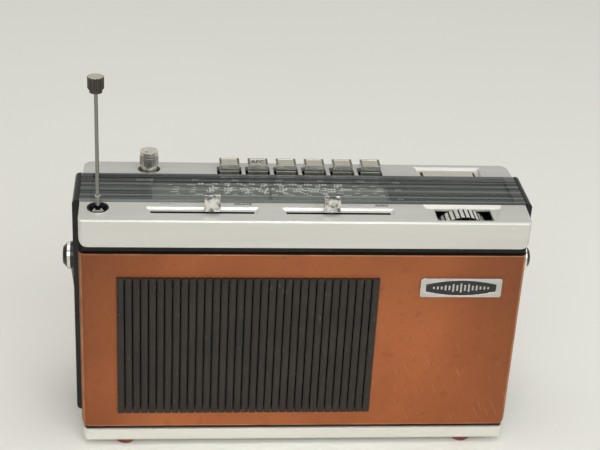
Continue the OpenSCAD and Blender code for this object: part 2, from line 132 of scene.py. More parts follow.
# %% The basic finish
def finish(name, colour, other, size=60, rough=(0.4, 0.55), metal=0.0, grain=900,
           depth=0.02, stretch=(1, 1, 1), meet=(0.32, 0.68), **shader_values):
    """Two colours in soft patches, drifting roughness and a fine grain depth mm deep.

    The closer the two numbers of meet, the harder the border between the colours."""
    material = bpy.data.materials.new(name)
    material.use_nodes = True
    tree = material.node_tree
    shader = tree.nodes["Principled BSDF"]
    shader.inputs["Metallic"].default_value = metal
    for key, value in shader_values.items():
        shader.inputs[key.replace("_", " ")].default_value = value
    place = add(tree, "TexCoord").outputs["Object"]
    drawn = add(tree, "Mapping", {"Vector": place, "Scale": stretch}).outputs[0]
    patches = add(tree, "TexNoise", {"Vector": drawn, "Scale": size, "Detail": 5}).outputs[0]
    fine = add(tree, "TexNoise", {"Vector": drawn, "Scale": grain, "Detail": 2}).outputs[0]
    soft = spread(tree, patches, *meet)
    tree.links.new(blend_colours(tree, soft, paint(colour), paint(other)),
                   shader.inputs["Base Color"])
    mixed = times(tree, patches, times(tree, fine, 0.6), "ADD")
    tree.links.new(spread(tree, mixed, 0.55, 1.05, *rough), shader.inputs["Roughness"])
    bump = add(tree, "Bump", {"Height": fine, "Strength": 1.0, "Distance": depth * MM})
    tree.links.new(bump.outputs[0], shader.inputs["Normal"])
    return material


# %% [markdown]
# ## Metals
#
# The decks and the bottom tray are pressed sheet with a fine satin brushing that runs along the
# case. Brushing is noise squeezed hard across one direction, so the stretch is small along X and
# large across it. The knobs, the sides of the keys and the aerial are plated, with a much tighter
# shine. A plated part still needs a little unevenness, or it looks like a mirror in an empty room.

# %% Metal finishes
deck_metal = finish("satin_deck_metal", "cccbc6", "c2c1bb", size=26, rough=(0.28, 0.40),
                    metal=0.4, grain=240, depth=0.006, stretch=(0.25, 3, 3))
# Painted light: the tray metal is lighter than the deck metal, for the light it gets from the
# floor.
lit_tray_metal = finish("tray_metal_painted_light", "e3e3dc", "dad9d2", size=22, rough=(0.28, 0.42),
                    metal=0.3, grain=240, depth=0.006, stretch=(0.25, 3, 3))
chrome = finish("plated_chrome", "d8d7d2", "c9c8c2", size=90, rough=(0.09, 0.2), metal=1.0,
                grain=600, depth=0.004)
# Painted reflection: upright light and dark streaks stand in for the reflections in the knurl.
knob_metal_painted_streaks = finish("knob_plating_painted_reflections", "d9d6cc", "85827a", size=330, rough=(0.16, 0.26), metal=0.8,
                    grain=500, depth=0.004, stretch=(1, 1, 0.04), meet=(0.42, 0.58))
# Painted reflection: the plating's light and dark patches stand in for reflections; the bump gives
# small dents.
slider_chrome_painted_patches = finish("dented_slider_plating_painted_reflections", "d8d7d3", "6f6d67", size=260, rough=(0.06, 0.16),
                       metal=0.9, grain=330, depth=0.08, meet=(0.42, 0.6))
aerial_chrome = finish("aerial_plating", "92918d", "7d7c78", size=50, rough=(0.1, 0.22),
                       metal=1.0, grain=500, depth=0.004, stretch=(1, 1, 0.2))
tip_metal = finish("dark_tip_plating", "55524e", "454340", size=120, rough=(0.14, 0.28),
                   metal=1.0, grain=700, depth=0.01)
key_top = finish("satin_key_top", "c6c3b4", "bab7a8", size=120, rough=(0.4, 0.55), metal=0.6,
                 grain=900, depth=0.006)
steel = finish("zinc_plated_steel", "9a9c9e", "83868a", size=45, rough=(0.3, 0.5), metal=0.9,
               grain=700, depth=0.01)
raw_steel = finish("turned_steel", "8e9093", "7b7d80", size=45, rough=(0.25, 0.42), metal=1.0,
                   grain=900, depth=0.008, stretch=(0.3, 1, 1))

# %% [markdown]
# ## Plastics, card and the rest
#
# The case, rails and handle are black mouldings, and each has its own shine. The case is a plain
# satin moulding, the rails are glossy and the grille ribs have a brown tone and a dusty, duller
# face. Inside the case are a chipboard baffle, a pressed paper cone, a dark magnet, a brown
# circuit board, wire coils and two flat batteries.

# %% Plastic and inner finishes
case_black = finish("case_black_moulding", "0d0d0e", "070708", size=70, rough=(0.22, 0.36),
                    grain=1500, depth=0.01, Specular_IOR_Level=0.3)
# Painted shade: near black for the slot walls and the tone controls, where the slots are in shade.
slot_shade_black = finish("slot_edge_painted_shade", "0c0c0c", "060606", size=90, rough=(0.6, 0.8),
                    grain=900, depth=0.01)
rail_black = finish("glossy_rail_moulding", "0c0c0d", "060607", size=40, rough=(0.16, 0.28),
                    grain=900, depth=0.004, Specular_IOR_Level=0.35)
grille_brown = finish("grille_brown_moulding", "241e19", "1b1713", size=45, rough=(0.36, 0.5),
                      grain=1300, depth=0.015, Specular_IOR_Level=0.35)
cloth = finish("speaker_cloth", "1b1a16", "0d0c0a", size=300, rough=(0.8, 0.95), grain=1600,
               depth=0.08)
board = finish("chipboard", "6f5a3f", "4f3f2b", size=260, rough=(0.7, 0.9), grain=700,
               depth=0.06)
paper = finish("pressed_paper_cone", "2e2b27", "201e1b", size=160, rough=(0.7, 0.9), grain=900,
               depth=0.05)
magnet = finish("dark_magnet", "3d3e41", "2b2c2f", size=130, rough=(0.45, 0.65), grain=900,
                depth=0.03)
foot_rubber = finish("red_brown_rubber", "7c3b26", "64301f", size=90, rough=(0.5, 0.7),
                     grain=1100, depth=0.03)
works = finish("grey_moulding", "47473f", "35362f", size=80, rough=(0.45, 0.6), grain=1100,
               depth=0.02)
cream = finish("cream_moulding", "d3cdb9", "c4bda6", size=60, rough=(0.35, 0.5), grain=1100,
               depth=0.015)
pcb = finish("brown_circuit_board", "80662f", "6a5427", size=70, rough=(0.35, 0.55), grain=500,
             depth=0.03)
ferrite = finish("ferrite", "3c3c3f", "2c2c2e", size=180, rough=(0.5, 0.7), grain=900,
                 depth=0.04)
coil_wire = finish("wound_wire", "b7803c", "8a5a26", size=200, rough=(0.3, 0.5), metal=0.5,
                   grain=700, depth=0.08, stretch=(3, 0.3, 0.3))
battery_wrap = finish("battery_wrap", "b59a3d", "9c8230", size=35, rough=(0.3, 0.5), grain=500,
                      depth=0.02)
part_mix = finish("component_bodies", "b9b7ac", "8f6a44", size=32, rough=(0.3, 0.6), grain=700,
                  depth=0.02)
amber = finish("lamp_glass", "e2cb83", "cbb067", size=90, rough=(0.1, 0.25), grain=700,
               depth=0.01)
pointer_pale = finish("pale_pointer", "8f918a", "80827c", size=120, rough=(0.3, 0.45), grain=900,
                     depth=0.01)
ink_black = finish("black_ink", "1c1c1a", "262624", size=400, rough=(0.5, 0.7), grain=1500,
                   depth=0.005)
ink_white = finish("white_ink", "f4f5ef", "e6e7e1", size=400, rough=(0.5, 0.7), grain=1500,
                   depth=0.005)
print(len(bpy.data.materials), "finishes so far")

# %% [markdown]
# ## Leather
#
# The cover is a thin orange-tan hide with a fine closed grain. Its pores are small cells with
# creases between them, which a Voronoi pattern draws well. On top of that come three marks. The
# leather is painted darker towards the top and the sides: this is painted shade, as the lower
# leather gets more light back from the pale floor. A pale line runs along the edges and corners,
# partly where they have been rubbed and partly a painted highlight on their rounding. And there are
# short faint scratches on the open field beside the grille. The scratches are a noise stretched in
# one direction, turned a little, and cut so that only its peaks show.

# %% The leather finish
def tan_leather(name, low_edge, high_edge):
    """Leather with pores, painted shade towards the top and sides, faint scratches, and pale edges
    at two heights in mm, partly rubbed wear and partly painted highlight.
    """
    material = finish(name, "ab6236", "96532c", size=16, rough=(0.42, 0.58), grain=1500,
                      depth=0.02, Specular_IOR_Level=0.25)
    tree = material.node_tree
    shader = tree.nodes["Principled BSDF"]
    place = add(tree, "TexCoord").outputs["Object"]
    hide = shader.inputs["Base Color"].links[0].from_socket
    across, along, height = add(tree, "SeparateXYZ", {0: place}).outputs
    side = add(tree, "Math", {0: across}, operation="ABSOLUTE").outputs[0]
    from_middle = times(tree, along, at(0, 0, 0).y, "SUBTRACT")
    deep = add(tree, "Math", {0: from_middle}, operation="ABSOLUTE").outputs[0]
    cells = add(tree, "TexVoronoi", {"Vector": place, "Scale": 1150.0},
                feature="DISTANCE_TO_EDGE").outputs[0]
    creases = spread(tree, cells, 0.0, 0.16)
    mottle = add(tree, "TexNoise", {"Vector": place, "Scale": 190.0, "Detail": 6}).outputs[0]
    flecks = blend_colours(tree, spread(tree, mottle, 0.58, 0.76, 0, 0.5), hide, paint("7c4024"))
    pored = blend_colours(tree, spread(tree, creases, 1.0, 0.0, 0, 0.22), flecks,
                          paint("6d371f"))
    # Painted shade: the leather is darkened towards the top and towards the sides.
    painted_top_side_shade = times(tree, spread(tree, height, 0.04, 0.137, 0.0, 0.28),
                    spread(tree, side, 0.085, 0.135, 0.0, 0.46), "ADD")
    pored_and_shaded = blend_colours(tree, painted_top_side_shade, pored, paint("5e331b"))
    # The pale edge line: partly rubbed wear, partly a painted highlight on the rounded edges.
    rub = add(tree, "TexNoise", {"Vector": place, "Scale": 70.0, "Detail": 4}).outputs[0]
    top = spread(tree, height, (high_edge - 0.9) * MM, (high_edge - 0.1) * MM)
    foot = spread(tree, height, (low_edge + 0.8) * MM, (low_edge + 0.1) * MM)
    corner = times(tree, spread(tree, side, 132.8 * MM, 133.8 * MM),
                   spread(tree, deep, 35.3 * MM, 36.3 * MM))
    edges = times(tree, times(tree, times(tree, top, foot, "MAXIMUM"), corner, "MAXIMUM"),
                  spread(tree, rub, 0.35, 0.6, 0.25, 0.9))
    worn_and_lit = blend_colours(tree, edges, pored_and_shaded, paint("c98a5c"))
    turned = add(tree, "Mapping", {"Vector": place, "Rotation": (0, math.radians(24), 0)})
    drawn = add(tree, "Mapping", {"Vector": turned.outputs[0], "Scale": (1500, 60, 75)})
    streaks = add(tree, "TexNoise", {"Vector": drawn.outputs[0], "Scale": 1.0, "Detail": 1})
    open_field = times(tree, spread(tree, across, 0.045, 0.065), spread(tree, height, 0.11, 0.06))
    lines = times(tree, spread(tree, streaks.outputs[0], 0.69, 0.76, 0, 0.26), open_field)
    tree.links.new(blend_colours(tree, lines, worn_and_lit, paint("d39a6e")),
                   shader.inputs["Base Color"])
    old = shader.inputs["Normal"].links[0].from_socket
    pores = add(tree, "Bump", {"Height": creases, "Strength": 1.0, "Distance": 0.025 * MM,
                               "Normal": old})
    slow = add(tree, "Bump", {"Height": rub, "Strength": 1.0, "Distance": 0.12 * MM,
                              "Normal": pores.outputs[0]})
    tree.links.new(slow.outputs[0], shader.inputs["Normal"])
    return material


leather = tan_leather("tan_leather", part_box("front_leather")[0].z / MM,
                      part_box("front_leather")[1].z / MM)
grip_leather = finish("black_grip_leather", "201f1e", "161514", size=60, rough=(0.42, 0.6),
                      grain=700, depth=0.06)

# %% [markdown]
# ## Rounding a part
#
# The solid model has perfectly sharp edges, and no real part does. A sharp edge never catches a
# highlight, which is the quickest way to tell a drawing from a thing. Each outer part is copied,
# its split triangles are joined back into whole faces, and a bevel measured in tenths of a
# millimetre rounds every edge sharper than thirty degrees. The copy then stands for the part.

# %% A helper that rounds a part
WELD_GAP, NEARLY_FLAT = 2e-6, math.radians(0.4)


def dress(piece, body, node=None):
    """Hangs a finished piece on its body and hides the part it stands for."""
    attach(piece, body)
    if node:
        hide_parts(node)
    return piece


def new_piece(name, build, materials, smooth=True, sharp=30):
    """Turns a bmesh into a linked object with its finishes."""
    mesh = bpy.data.meshes.new(name)
    bmesh.ops.recalc_face_normals(build, faces=build.faces)
    build.to_mesh(mesh)
    build.free()
    for material in materials:
        mesh.materials.append(material)
    mesh.shade_smooth() if smooth else mesh.shade_flat()
    if smooth:
        mesh.set_sharp_from_angle(angle=math.radians(sharp))
    piece = bpy.data.objects.new(name, mesh)
    bpy.context.scene.collection.objects.link(piece)
    return piece


def round_edges(piece, width, steps=2, angle=30):
    """Adds a bevel of so many mm to every edge sharper than the angle."""
    bevel = piece.modifiers.new("rounded_edges", "BEVEL")
    bevel.width = width * MM
    bevel.segments = steps
    bevel.limit_method = "ANGLE"
    bevel.angle_limit = math.radians(angle)
    bevel.harden_normals = True
    return piece


def rounded_part(node, width, *materials, pick=None, steps=2, sharp=30):
    """Copies a part, rounds its edges and lets the copy stand for it."""
    build = bmesh.new()
    build.from_mesh(frame["nodes"][node].data)
    bmesh.ops.remove_doubles(build, verts=build.verts, dist=WELD_GAP)
    bmesh.ops.dissolve_limit(build, angle_limit=NEARLY_FLAT, verts=build.verts,
                             edges=build.edges)
    for face in build.faces:
        face.material_index = pick(face) if pick else 0
    piece = new_piece(node + "_finished", build, materials, sharp=sharp)
    if "custom_normal" in piece.data.attributes:
        piece.data.attributes.remove(piece.data.attributes["custom_normal"])
    round_edges(piece, width, steps, sharp)
    return dress(piece, BODY_OF[node], node)


# %% [markdown]
# ## The case and its covers
#
# The covers were cut, folded round the case and glued, so their edges are soft but still crisp.
# The cut edge along the top is painted near black, as the shade in the gap under the metal lip.
# The black case shows only as a dark line above and below them. The tray under the case is painted
# the lightest metal on the radio, standing in for the light it gets back from the pale floor.

# %% Case, covers, tray and feet
# Painted shade: the top edge of each cover sits in the shaded gap under the lip, so it is coloured
# near black.
top_edge_shade = finish("leather_top_edge_painted_shade", "1a1512", "120e0c", size=90, rough=(0.5, 0.7), grain=700)
for node in ("front_leather", "rear_leather"):
    top_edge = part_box(node)[1].z - 0.1 * MM
    rounded_part(node, 0.45, leather, top_edge_shade, steps=3,
                 pick=lambda face: face.calc_center_median().z > top_edge)
rounded_part("bottom_tray", 0.3, lit_tray_metal)
rounded_part("feet", 0.35, foot_rubber)
rounded_part("rear_screws", 0.12, raw_steel)
rounded_part("side_rails", 0.5, rail_black, steps=3)
rounded_part("cabinet", 0.25, case_black)
cover_low, cover_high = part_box("front_leather")
print("front cover spans", [round(v, 4) for v in cover_high - cover_low])

# %% [markdown]
# ## The loudspeaker grille
#
# The grille is one brown moulding of upright ribs. Each rib has a broad flat front and narrow
# bevelled sides, so the light picks out one thin line along it. A little pale dust has settled
# between the ribs, drawn as specks in the colour.

# %% Grille with dust
dust = add(grille_brown.node_tree, "TexNoise",
           {"Vector": add(grille_brown.node_tree, "TexCoord").outputs["Object"],
            "Scale": 420.0, "Detail": 3}).outputs[0]
grille_shader = grille_brown.node_tree.nodes["Principled BSDF"]
plain_brown = grille_shader.inputs["Base Color"].links[0].from_socket
dusty = blend_colours(grille_brown.node_tree,
                      spread(grille_brown.node_tree, dust, 0.66, 0.78, 0, 0.35),
                      plain_brown, paint("8d8478"))
grille_brown.node_tree.links.new(dusty, grille_shader.inputs["Base Color"])
rounded_part("speaker_grille", 0.12, grille_brown, sharp=40)

# %% [markdown]
# ## The badge
#
# A silver frame holds a black barrel-shaped field. The field carries a simple row of sound bars in
# silver, tall in the middle and short at the ends. Each bar is a small box with rounded edges,
# standing a tenth of a millimetre proud of the field.

# %% Badge frame, field and bars
badge_silver = finish("badge_silver", "cccbc7", "b3b2ae", size=90, rough=(0.16, 0.28), metal=0.85,
                      grain=500, depth=0.006, stretch=(0.4, 2, 2))
badge_black = finish("badge_black_enamel", "121213", "1a1a1b", size=80, rough=(0.12, 0.25),
                     grain=600, depth=0.004)
rounded_part("badge_frame", 0.25, badge_silver)
rounded_part("badge_plate", 0.08, badge_black)


def add_box(build, low, high, material=0):
    """Adds a box between two corners to a bmesh."""
    made = bmesh.ops.create_cube(build, size=1.0)["verts"]
    middle_point, size = (low + high) / 2, high - low
    for vert in made:
        vert.co = Vector(vert.co[i] * size[i] + middle_point[i] for i in range(3))
    for face in {face for vert in made for face in vert.link_faces}:
        face.material_index = material


BARS_EACH_SIDE = 7
BAR_PITCH, BAR_HALF_WIDTH = 2.4 * MM, 0.55 * MM
plate_low, plate_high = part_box("badge_plate")
plate_middle = (plate_low + plate_high) / 2
bars = bmesh.new()
for i in range(-BARS_EACH_SIDE, BARS_EACH_SIDE + 1):
    tall = (0.6 + 2.5 * math.exp(-((i / 4.6) ** 2)) * (0.6 if i % 2 else 1.0)) * MM
    x, z = plate_middle.x + i * BAR_PITCH, plate_middle.z
    add_box(bars, Vector((x - BAR_HALF_WIDTH, plate_low.y - 0.12 * MM, z - tall)),
            Vector((x + BAR_HALF_WIDTH, plate_low.y + 0.1 * MM, z + tall)))
sound_bars = round_edges(new_piece("badge_sound_bars", bars, [badge_silver]), 0.06)
dress(sound_bars, "case")
print("badge bars:", 2 * BARS_EACH_SIDE + 1)

# %% [markdown]
# ## The metal decks
#
# The front and rear decks are one pressing each, folded down into a lip. The fold is a tight
# radius that shows as a bright line along the radio. Their openings for the sliders, wheel and
# keys were pressed and cut, so these edges are only just broken.

# %% Decks
SLOTS_FROM, SLOTS_TO = -95 * MM, 56 * MM
SLOT_REACH = 1.4 * MM
slot_line = (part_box("bass_slider")[0].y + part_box("bass_slider")[1].y) / 2


def deck_faces(face):
    """Paints the cut edges of the two slider slots near black, as painted shade inside the slots.
    """
    centre = face.calc_center_median()
    inside = abs(centre.y - slot_line) < SLOT_REACH and SLOTS_FROM < centre.x < SLOTS_TO
    return 1 if inside and abs(face.normal.z) < 0.5 else 0


rounded_part("top_deck_front", 0.22, deck_metal, slot_shade_black, pick=deck_faces)
rounded_part("top_deck_rear", 0.22, deck_metal)
bezel_low, bezel_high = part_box("antenna_bezel")
bezel_middle = (bezel_low + bezel_high) / 2


def bezel_faces(face):
    """A thin bright outer wall round a black dish."""
    centre = face.calc_center_median() - bezel_middle
    return 0 if math.hypot(centre.x, centre.y) > 5.5 * MM else 1


bright_ring = finish("bright_ring", "efeee9", "dddcd6", size=120, rough=(0.2, 0.3), metal=0.35,
                     grain=500, depth=0.005)
rounded_part("antenna_bezel", 0.12, bright_ring, case_black, pick=bezel_faces)

# %% [markdown]
# ## The dial glass
#
# The strip over the dial is smoked acrylic with fine lengthwise flutes in its upper face. Under it
# lies a black mask with a clear window over the scale. Real refraction would need a slow render
# and gains little at this thickness, so the glass lets light straight through and only tints it.
# The fluted face is drawn as one profile and stretched along the radio. The underside has a dark
# printed border at both ends and along the back, so the pale deck does not show through there.

# %% Smoked glass
smoked = finish("smoked_acrylic", "868a87", "1f2221", size=100, rough=(0.05, 0.14), grain=300,
                depth=0.003, stretch=(0.015, 5, 5), meet=(0.42, 0.56))
GLASS_OPACITY = 0.42
smoked.node_tree.nodes["Principled BSDF"].inputs["Alpha"].default_value = GLASS_OPACITY
smoked_edge = finish("smoked_acrylic_edge", "606461", "232625", size=100, rough=(0.1, 0.2),
                     grain=300, depth=0.003, stretch=(0.015, 5, 5), meet=(0.42, 0.56))
glass_low, glass_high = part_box("dial_glass")
FLUTE, FLUTE_DEPTH, FLUTE_STEPS = 3.1 * MM, 0.3 * MM, 96
FRONT_ROUND, ROUND_STEPS = 1.1 * MM, 5


def glass_profile():
    """Points of the glass cross-section, front edge first, as (y, z)."""
    front, back = glass_low.y, glass_high.y
    points = [(front, glass_low.z), (front, glass_high.z - FRONT_ROUND)]
    for turn in range(1, ROUND_STEPS + 1):
        angle = math.radians(180 - 90 * turn / ROUND_STEPS)
        points.append((front + FRONT_ROUND * (1 + math.cos(angle)),
                       glass_high.z - FRONT_ROUND * (1 - math.sin(angle))))
    for i in range(1, FLUTE_STEPS):
        y = front + FRONT_ROUND + (back - front - 1.6 * MM) * i / FLUTE_STEPS
        wave = abs(math.sin(math.pi * (y - front) / FLUTE))
        points.append((y, glass_high.z - FLUTE_DEPTH * (1 - min(1, wave * 1.5))))
    return points + [(back - 0.3 * MM, glass_high.z - 0.1 * MM), (back, glass_high.z - 0.5 * MM),
                     (back, glass_low.z)]


profile = glass_profile()
glass = bmesh.new()
BORDER, BACK_BORDER = 6.6 * MM, 1.2 * MM
SMOKED, DARK_EDGE = 0, 1
MIDDLE_STRETCH = 1
cuts = [[glass.verts.new((x, y, z)) for y, z in profile]
        for x in (glass_low.x, glass_low.x + BORDER, glass_high.x - BORDER, glass_high.x)]
for part, (left, right) in enumerate(zip(cuts, cuts[1:])):
    for i in range(len(profile) - 1):
        face = glass.faces.new((left[i], left[i + 1], right[i + 1], right[i]))
        front_edge = i < ROUND_STEPS + 2
        back_edge = profile[i][0] > glass_high.y - BACK_BORDER
        dark = part != MIDDLE_STRETCH or front_edge or back_edge
        face.material_index = DARK_EDGE if dark else SMOKED
    under = glass.faces.new((left[-1], left[0], right[0], right[-1]))
    under.material_index = SMOKED if part == MIDDLE_STRETCH else DARK_EDGE
for side in (cuts[0], cuts[-1]):
    glass.faces.new(side).material_index = DARK_EDGE
glass_piece = new_piece("dial_glass_fluted", glass, [smoked, smoked_edge], sharp=50)
dress(glass_piece, "case", "dial_glass")
print("glass profile has", len(profile), "points")

# %% [markdown]
# ## The mask and the scale
#
# The mask is a thin printed sheet just under the glass. Its window is long, so the sheet is built
# as four strips round an opening. The scale lies lower down and is a pale grey card, which is why
# the window looks lighter than the rest of the strip.

# %% Mask, scale, tray, pointer and lamp
mask_black = finish("mask_print", "535756", "2c2f2f", size=85, rough=(0.4, 0.55), grain=900,
                    depth=0.005, stretch=(0.015, 5, 5), meet=(0.4, 0.6))
scale_card = finish("scale_card", "d6d8cf", "c8cbc2", size=50, rough=(0.5, 0.65), grain=900,
                    depth=0.01)
mask = bmesh.new()
MASK_HALF_LENGTH, MASK_HALF_DEPTH = 128.6, 17.1
MASK_UNDER, MASK_TOP = 161.25, 161.4
WINDOW_LEFT, WINDOW_RIGHT, WINDOW_FRONT, WINDOW_BACK = -92.0, 53.2, -16.4, 11.6
for x0, x1, y0, y1 in ((-MASK_HALF_LENGTH, WINDOW_LEFT, -MASK_HALF_DEPTH, MASK_HALF_DEPTH),
                       (WINDOW_RIGHT, MASK_HALF_LENGTH, -MASK_HALF_DEPTH, MASK_HALF_DEPTH),
                       (WINDOW_LEFT, WINDOW_RIGHT, -MASK_HALF_DEPTH, WINDOW_FRONT),
                       (WINDOW_LEFT, WINDOW_RIGHT, WINDOW_BACK, MASK_HALF_DEPTH)):
    add_box(mask, at(x0, y0, MASK_UNDER), at(x1, y1, MASK_TOP))
dress(new_piece("dial_mask", mask, [mask_black], smooth=False), "case")
rounded_part("dial_tray", 0.2, case_black)
rounded_part("dial_scale", 0.1, scale_card)
rounded_part("dial_pointer", 0.1, pointer_pale)
CAP_END = -104 * MM
rounded_part("dial_lamp", 0.3, amber, steel,
             pick=lambda face: face.calc_center_median().x < CAP_END)

# %% [markdown]
# ## Piano keys
#
# Six plated keys and a wide light key stand in the rear deck. Each is a plated block whose top has
# a thin plated rim round a sunk satin field; the rim's dark colour is a painted reflection. The
# finishes sit on one part, chosen face by face: the field is the flat face just below the rim, and
# the rest, with the rounded edges, is plated.

# %% Keys
FIELD_LOWEST, FIELD_HIGHEST = 0.6 * MM, 0.1 * MM


def key_faces(top):
    """Picks the satin field and the rim round it, which is painted dark as a reflection, by their
    depth under the key's top.
    """
    def pick(face):
        height = face.calc_center_median().z
        if face.normal.z < 0.9 or height < top - FIELD_LOWEST:
            return 0
        return 1 if height < top - FIELD_HIGHEST else 2
    return pick


# Painted reflection: the plated rim is coloured dark, as the plating shows a dark reflection there.
rim_dark_reflection = finish("key_rim", "76746b", "66645c", size=90, rough=(0.3, 0.42), metal=0.5,
                   grain=500, depth=0.006)
for node in ["key_%d" % number for number in range(1, 7)]:
    rounded_part(node, 0.45, chrome, key_top, rim_dark_reflection, steps=3,
                 pick=key_faces(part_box(node)[1].z))
light_key_satin = finish("light_key_satin", "c9c7ba", "bfbdb0", size=60, rough=(0.35, 0.5),
                         metal=0.4, grain=500, depth=0.006, stretch=(0.3, 2, 2))
rounded_part("light_key", 0.3, light_key_satin, steps=3)

# %% [markdown]
# ## Slider knobs
#
# The bass and treble knobs are small plated blocks. The top is dished for a fingertip and the front
# is hollowed like a shallow pan, which breaks the reflection into light and dark pieces, and dark
# patches of reflection are painted into the plating as well. A box of eight points is enough: its
# top and front faces are inset and then pushed in. A narrower grey foot runs down into the slot.

# %% Slider knobs
SLIDER_UNDERSIDE = 163.4 * MM
HOLLOW, TOP_RIM, FRONT_RIM = 0.35 * MM, 1.0 * MM, 1.1 * MM
FOOT_HALF_LENGTH, FOOT_HALF_DEPTH = 2 * MM, 0.85 * MM


def slider_knob(node, body):
    """A plated block with a dished top, a hollowed front and a narrow foot."""
    low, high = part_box(node)
    centre, y = (low.x + high.x) / 2, (low.y + high.y) / 2
    half, deep, lean = (high.x - low.x) / 2, (high.y - low.y) / 2, 0.4 * MM
    build = bmesh.new()
    rings = [[build.verts.new((centre + sx * half, y + sy * (deep - pull), z))
              for sx, sy in ((-1, -1), (1, -1), (1, 1), (-1, 1))]
             for z, pull in ((SLIDER_UNDERSIDE, 0), (high.z, lean))]
    for i in range(4):
        j = (i + 1) % 4
        build.faces.new((rings[0][i], rings[0][j], rings[1][j], rings[1][i]))
    build.faces.new(rings[0])
    roof = build.faces.new(rings[1])
    bmesh.ops.inset_region(build, faces=[roof], thickness=TOP_RIM)
    for vert in roof.verts:
        vert.co.z -= HOLLOW
    bmesh.ops.recalc_face_normals(build, faces=build.faces)
    front = min(build.faces, key=lambda face: face.calc_center_median().y)
    bmesh.ops.inset_region(build, faces=[front], thickness=FRONT_RIM)
    bmesh.ops.translate(build, verts=front.verts, vec=(0, HOLLOW, 0))
    foot_top = SLIDER_UNDERSIDE + 0.5 * MM
    add_box(build, Vector((centre - FOOT_HALF_LENGTH, y - FOOT_HALF_DEPTH, low.z)),
            Vector((centre + FOOT_HALF_LENGTH, y + FOOT_HALF_DEPTH, foot_top)), 1)
    piece = round_edges(new_piece(node + "_knob", build, [slider_chrome_painted_patches, works]), 0.3)
    return dress(piece, body, node)


slider_knob("bass_slider", "bass")
slider_knob("treble_slider", "treble")
bass_low, bass_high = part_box("bass_slider")
print("slider knobs are", round((bass_high.x - bass_low.x) / MM, 1), "mm wide")

# %% [markdown]
# ## Volume knob and tuning wheel
#
# Both are turned metal with cut ribs for the fingers. The ribs are already in the solid model, so
# they only need their edges broken and a tight shine. The wheel has dark end faces, picked by the
# way each face looks: the ones that look along the wheel's axle are moulded plastic. The floors of
# the grooves are painted dark on both, as shade.

# %% Knob and wheel
wheel_rib = finish("wheel_rib_metal", "e2e1db", "d2d1ca", size=90, rough=(0.2, 0.34), metal=0.5,
                   grain=500, depth=0.006, stretch=(1, 0.3, 1))
wheel_low, wheel_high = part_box("tuning_wheel")
axle = (wheel_low + wheel_high) / 2
wheel_radius = (wheel_high.z - wheel_low.z) / 2
RIB_CUT = 0.25 * MM


def wheel_faces(face):
    """Bright ribs on a dark wheel: plastic end faces, and groove floors painted dark as shade."""
    centre = face.calc_center_median() - axle
    rib = math.hypot(centre.x, centre.z) > wheel_radius - RIB_CUT
    return 0 if rib and abs(face.normal.y) < 0.5 else 1


knob_low, knob_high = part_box("volume_knob")
knob_middle = (knob_low + knob_high) / 2
CAP_HEIGHT, GROOVE_HEIGHT, RIB_HEIGHT, RIB_FLOOR = 2.9 * MM, 0.6 * MM, 5.2 * MM, 5.65 * MM
groove_top = knob_high.z - CAP_HEIGHT
rib_top = groove_top - GROOVE_HEIGHT
disc_metal = finish("knob_disc", "dedbd0", "c4c1b6", size=300, rough=(0.25, 0.4), metal=0.5,
                    grain=700, depth=0.01)
# Painted shade: dark colour in the groove under the cap and between the ribs.
groove_shade = finish("knob_groove_painted_shade", "3a3936", "2b2a28", size=90, rough=(0.35, 0.5), metal=0.4,
                     grain=500, depth=0.006)


def knob_faces(face):
    """Bright disc on top; the groove under the cap and the floors between the ribs painted dark as
    shade.
    """
    centre = face.calc_center_median() - knob_middle
    reach, height = math.hypot(centre.x, centre.y), face.calc_center_median().z
    if face.normal.z > 0.9:
        return 1
    groove = rib_top < height < groove_top
    rib_floor = reach < RIB_FLOOR and rib_top - RIB_HEIGHT < height < rib_top
    return 2 if groove or rib_floor else 0


rounded_part("volume_knob", 0.14, knob_metal_painted_streaks, disc_metal, groove_shade, pick=knob_faces, sharp=25)
rounded_part("tuning_wheel", 0.1, wheel_rib, case_black, sharp=25, pick=wheel_faces)
DOT_RADIUS, DOT_DEPTH = 0.75 * MM, 0.16 * MM
dot = bmesh.new()
bmesh.ops.create_cone(dot, cap_ends=True, segments=32, radius1=DOT_RADIUS, radius2=DOT_RADIUS,
                      depth=DOT_DEPTH,
                      matrix=Matrix.Translation((knob_middle.x - 1.6 * MM,
                                                 knob_middle.y - 2.4 * MM,
                                                 knob_high.z - 0.02 * MM)))
dress(round_edges(new_piece("volume_mark", dot, [ink_black]), 0.04), "volume")
print("volume knob rises to", round(knob_high.z / MM, 1), "mm")

# %% [markdown]
# ## The aerial
#
# The aerial is four plated tubes and a rod that slide into each other. Here only the last ones are
# drawn out, and a dark fluted tip closes it. The cut end of each tube is a bright ring, and the
# tip's flat top is a satin grey disc, so both are picked by their upward faces.

# %% Aerial
for node in ("antenna_section_1", "antenna_section_2", "antenna_section_3", "antenna_section_4"):
    rounded_part(node, 0.08, aerial_chrome, bright_ring, sharp=25,
                 pick=lambda face: face.normal.z > 0.5)
rounded_part("antenna_sleeve", 0.1, bright_ring, sharp=25)
TIP_HEIGHT = 12.6 * MM
aerial_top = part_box("antenna_rod")[1].z
tip_bottom = aerial_top - TIP_HEIGHT


def rod_faces(face):
    """Plated rod, dark fluted tip, satin disc on top."""
    height = face.calc_center_median().z
    if face.normal.z > 0.95 and height > aerial_top - 0.2 * MM:
        return 2
    return 1 if height > tip_bottom else 0


rounded_part("antenna_rod", 0.3, aerial_chrome, tip_metal, key_top, pick=rod_faces, sharp=25)
print("aerial tip is at", round(aerial_top / MM, 1), "mm")

# %% [markdown]
# ## Handle and pivots
#
# A flat steel bow, lacquered black, carries a padded grip covered in black leather. It hangs from
# a stud on each side: a black disc, a knurled bright ring and a domed black cap. The grip's edges
# are rounded far more than the bow's, because padding under leather never folds sharply.

